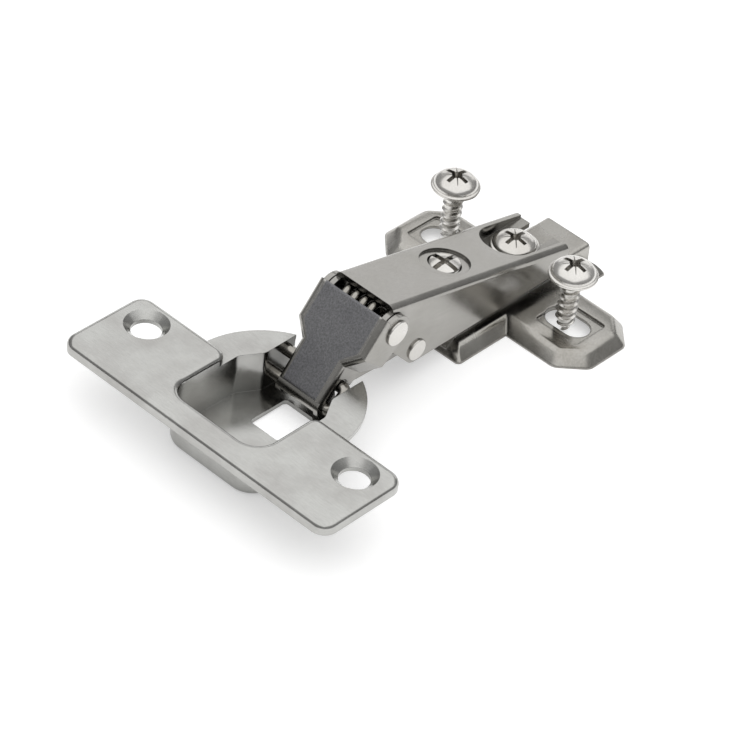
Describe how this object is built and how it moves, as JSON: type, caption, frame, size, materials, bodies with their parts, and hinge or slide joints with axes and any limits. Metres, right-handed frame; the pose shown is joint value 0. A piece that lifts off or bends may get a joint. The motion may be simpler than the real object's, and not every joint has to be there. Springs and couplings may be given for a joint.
{
  "type": "concealed cup hinge",
  "caption": "Concealed cabinet hinge: a flanged cup for the door, two folding links on a wedge-shaped arm, and a winged mounting plate with its screws standing in the slots.",
  "frame": {"origin": "middle of the mounting plate's screw line, on the plane of the plate's base", "axes": "+Z away from the cabinet side, +X from the cup to the rear of the plate, Y along the screw line"},
  "size_m": [0.1047, 0.0658, 0.0219],
  "materials": {
    "hinge_cup": "satin nickel plate on drawn steel",
    "axle_clip": "bright drawn wire",
    "outer_link": "dark matte plate with bright cut edges",
    "inner_link": "nickel plate on pressed steel",
    "hinge_arm": "satin nickel plate on pressed steel",
    "front_rivet": "nickel plate, turned",
    "rear_rivet": "nickel plate, turned",
    "closing_spring": "spring wire",
    "mounting_plate": "satin nickel plate on pressed steel",
    "fixing_screw": "bright nickel plate",
    "side_adjusting_screw": "bright nickel plate",
    "near_plate_screw": "bright nickel plate",
    "far_plate_screw": "bright nickel plate"
  },
  "bodies": {
    "plate": {"mounting_plate": "mounting_plate"},
    "fixing": {"fixing_screw": "fixing_screw"},
    "near_screw": {"near_plate_screw": "near_plate_screw"},
    "far_screw": {"far_plate_screw": "far_plate_screw"},
    "adjuster": {"side_adjusting_screw": "side_adjusting_screw"},
    "arm": {"hinge_arm": "hinge_arm", "front_rivet": "front_rivet", "rear_rivet": "rear_rivet", "closing_spring": "closing_spring"},
    "outer_link": {"outer_link": "outer_link"},
    "cup": {"hinge_cup": "hinge_cup", "axle_clip": "axle_clip"},
    "inner_link": {"inner_link": "inner_link"}
  },
  "joints": [
    {"name": "depth_slide", "type": "slide", "parent": "plate", "child": "adjuster", "axis": [1, 0, 0], "range_m": [-0.0025, 0.0025]},
    {"name": "side_tilt", "type": "hinge", "parent": "adjuster", "child": "arm", "pos_m": [0.0011, 0, 0.0099], "axis": [0, 1, 0], "range_deg": [-1.5, 1.5]},
    {"name": "door_fold", "type": "hinge", "parent": "arm", "child": "outer_link", "pos_m": [-0.0419, 0, 0.017], "axis": [0, -1, 0], "range_deg": [0, 36]},
    {"name": "cup_fold", "type": "hinge", "parent": "outer_link", "child": "cup", "pos_m": [-0.0554, 0, 0.0044], "axis": [0, 1, 0], "range_deg": [0, 126]},
    {"name": "inner_link_fold", "type": "hinge", "parent": "cup", "child": "inner_link", "pos_m": [-0.0518, 0, 0.0076], "axis": [0, -1, 0], "range_deg": [0, 146.2]},
    {"name": "fixing_screw_turn", "type": "hinge", "parent": "plate", "child": "fixing", "pos_m": [0.0011, 0, 0.01], "axis": [0, 0, 1], "range_deg": [-45, 360]},
    {"name": "near_screw_drive", "type": "slide", "parent": "plate", "child": "near_screw", "axis": [0, 0, -1], "range_m": [0, 0.0106]},
    {"name": "far_screw_drive", "type": "slide", "parent": "plate", "child": "far_screw", "axis": [0, 0, -1], "range_m": [0, 0.0125]}
  ],
  "couplings": [
    {"joint": "cup_fold", "follows": "door_fold", "ratio": 3.5},
    {"joint": "inner_link_fold", "follows": "door_fold", "ratio": 4.06}
  ]
}
